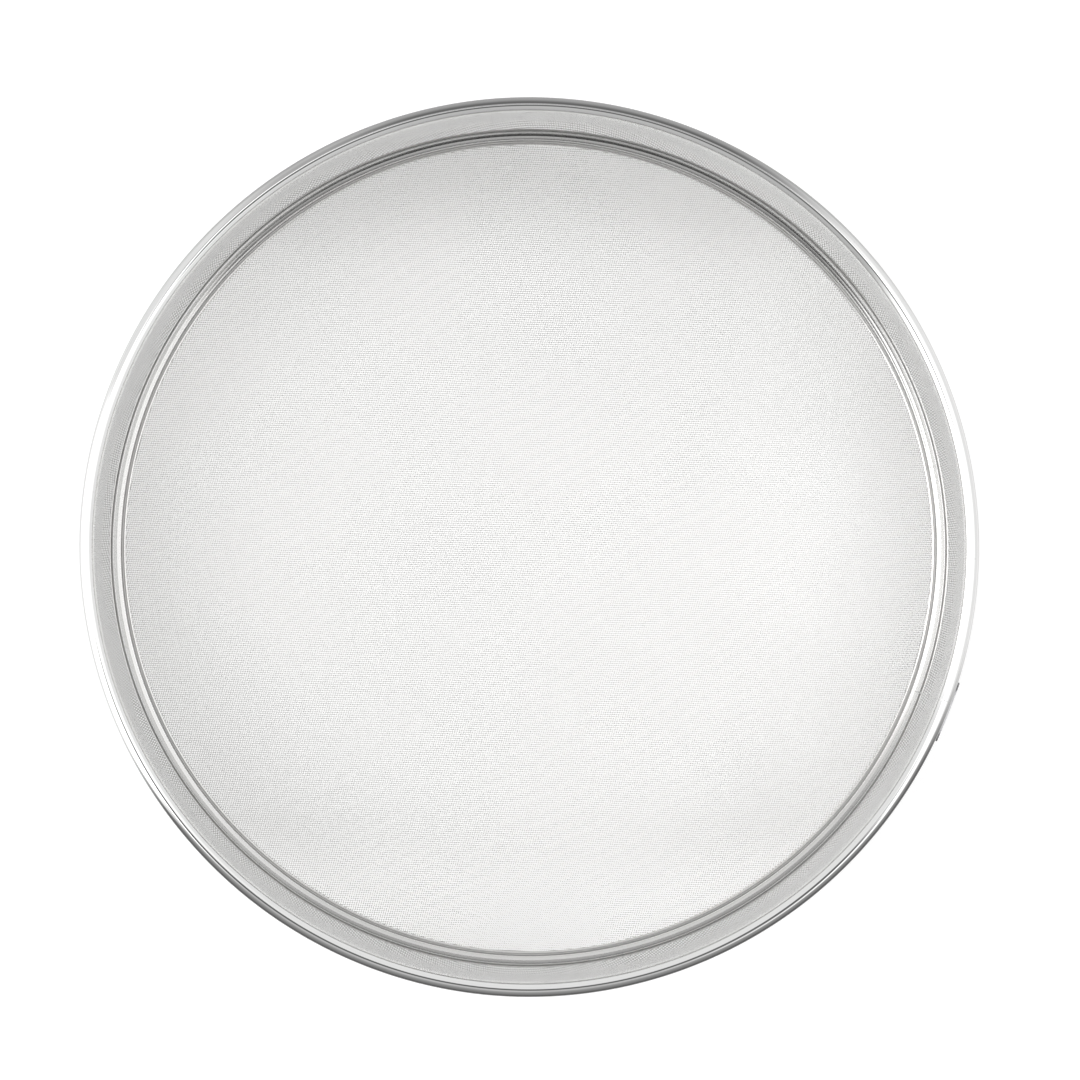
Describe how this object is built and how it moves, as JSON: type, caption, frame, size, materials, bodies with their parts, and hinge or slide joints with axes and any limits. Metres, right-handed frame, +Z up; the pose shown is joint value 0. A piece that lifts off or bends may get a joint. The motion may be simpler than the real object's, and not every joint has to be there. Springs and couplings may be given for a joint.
{
  "type": "tamis drum sieve",
  "caption": "Round steel drum sieve with a curled rim, a fine wire cloth clamped between two rings near its foot, for sifting flour and pressing purees.",
  "frame": {"origin": "on the drum's axis, in the plane that its turned-in foot rests on", "axes": "+Z up along the drum's axis, towards the curled rim; the hoop's seam is at -20.4 degrees from +X"},
  "size_m": [0.3, 0.3, 0.075],
  "materials": {
    "hoop_steel": "polished",
    "ring_steel": "polished",
    "strap_steel": "satin",
    "wire_steel": "satin",
    "cloth_steel": "satin"
  },
  "bodies": {
    "root": {"drum_hoop": "hoop_steel", "rim_wire": "wire_steel", "seam_strap": "strap_steel", "retaining_ring": "ring_steel", "mesh_screen": "cloth_steel", "seat_ring": "ring_steel"}
  },
  "joints": []
}
